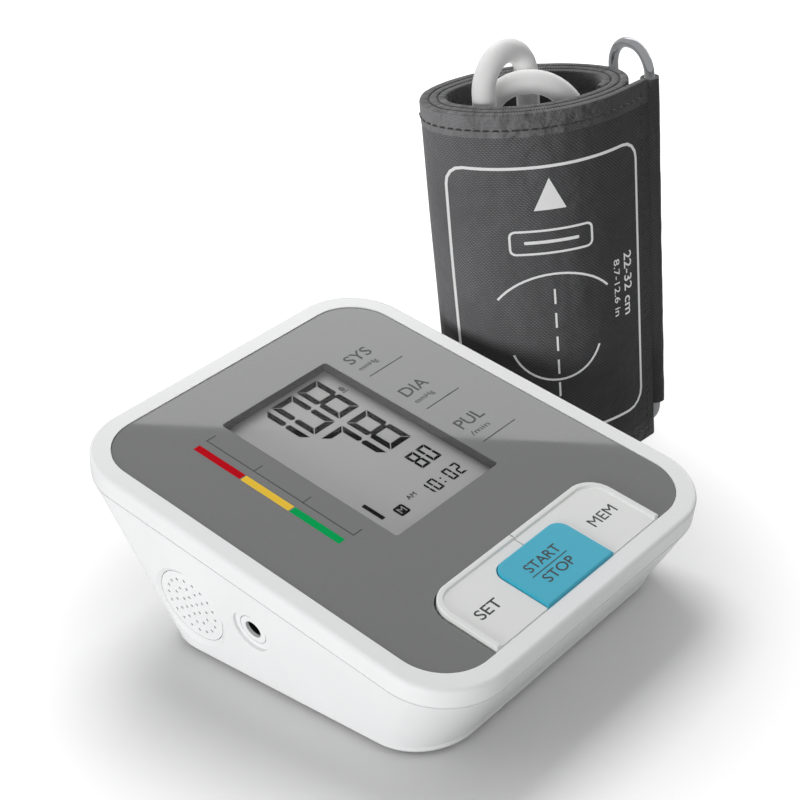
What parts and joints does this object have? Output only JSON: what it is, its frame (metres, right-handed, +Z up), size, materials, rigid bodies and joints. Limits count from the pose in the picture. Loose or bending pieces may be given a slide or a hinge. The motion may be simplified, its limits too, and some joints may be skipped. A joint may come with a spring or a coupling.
{
  "type": "blood pressure monitor",
  "caption": "Tilted-face upper-arm blood pressure monitor with display, nested press keys, side speaker and air socket, beside its rolled cuff with tucked hose and ring.",
  "frame": {"origin": "on the table, under the middle of the monitor's face panel", "axes": "+X to the monitor's right, towards the cuff; +Y to its back; +Z up"},
  "size_m": [0.183, 0.14, 0.1345],
  "materials": {
    "white_shell": "satin white moulding",
    "white_key": "satin white moulding",
    "blue_key": "smooth blue moulding",
    "grey_panel": "glossy grey sheet",
    "clear_lens": "clear polished acrylic",
    "display": "grey reflective segment display",
    "inner_frame": "plain moulding",
    "black_rubber": "black rubber",
    "inner_tube": "milky silicone",
    "circuit_board": "green lacquered board",
    "black_moulding": "plain black moulding",
    "speaker_paper": "black pressed paper",
    "bright_steel": "bright zinc or nickel plate",
    "cell_jacket": "dark foil jacket on a metal can",
    "cuff_cloth": "dark grey woven nylon with white print",
    "bladder_film": "grey welded film",
    "hose_rubber": "light grey smooth rubber",
    "hose_fitting": "grey moulding",
    "ring_chrome": "bright plated wire"
  },
  "bodies": {
    "monitor": {"aa_cells": "cell_jacket", "air_manifold": "inner_frame", "air_socket": "white_shell", "battery_contacts": "bright_steel", "battery_springs": "bright_steel", "board_chips": "black_moulding", "board_screws": "bright_steel", "bottom_case": "white_shell", "case_screws": "bright_steel", "display_lens": "clear_lens", "elastomer_strips": "black_rubber", "face_panel": "grey_panel", "lcd_frame": "inner_frame", "lcd_glass": "display", "main_board": "circuit_board", "pressure_sensor": "inner_frame", "pump_head": "inner_frame", "pump_motor": "bright_steel", "pump_saddle": "inner_frame", "pump_tube": "inner_tube", "release_valve": "inner_frame", "rubber_feet": "black_rubber", "sensor_tube": "inner_tube", "socket_seal": "black_rubber", "socket_tube": "inner_tube", "speaker_basket": "black_moulding", "speaker_cone": "speaker_paper", "speaker_grille": "white_shell", "speaker_magnet": "bright_steel", "tact_switches": "black_moulding", "top_cover": "white_shell", "valve_tube": "inner_tube"},
    "start_key": {"start_stop_button": "blue_key", "start_plunger": "black_moulding"},
    "set_key": {"set_button": "white_key", "set_plunger": "black_moulding"},
    "memory_key": {"memory_button": "white_key", "memory_plunger": "black_moulding"},
    "door": {"battery_door": "white_shell"},
    "cuff": {"cuff_wrap": "cuff_cloth", "bladder": "bladder_film", "hose_elbow": "hose_fitting", "air_hose": "hose_rubber", "air_plug": "hose_fitting"},
    "ring": {"d_ring": "ring_chrome"}
  },
  "joints": [
    {"name": "start_press", "type": "slide", "parent": "monitor", "child": "start_key", "axis": [0, 0.2079, -0.9781], "range_m": [0, 0.0008], "stiffness_N_per_m": 1500},
    {"name": "set_press", "type": "slide", "parent": "monitor", "child": "set_key", "axis": [0, 0.2079, -0.9781], "range_m": [0, 0.0008], "stiffness_N_per_m": 1500},
    {"name": "memory_press", "type": "slide", "parent": "monitor", "child": "memory_key", "axis": [0, 0.2079, -0.9781], "range_m": [0, 0.0008], "stiffness_N_per_m": 1500},
    {"name": "door_swing", "type": "hinge", "parent": "monitor", "child": "door", "pos_m": [0, -0.02102, 0.0017], "axis": [-1, 0, 0], "range_deg": [0, 60]},
    {"name": "cuff_lift", "type": "slide", "parent": "monitor", "child": "cuff", "axis": [0, 0, 1], "range_m": [0, 0.2]},
    {"name": "ring_swing", "type": "hinge", "parent": "cuff", "child": "ring", "pos_m": [0.11709, -0.00717, 0.06], "axis": [0, 0, -1], "range_deg": [0, 90]}
  ]
}
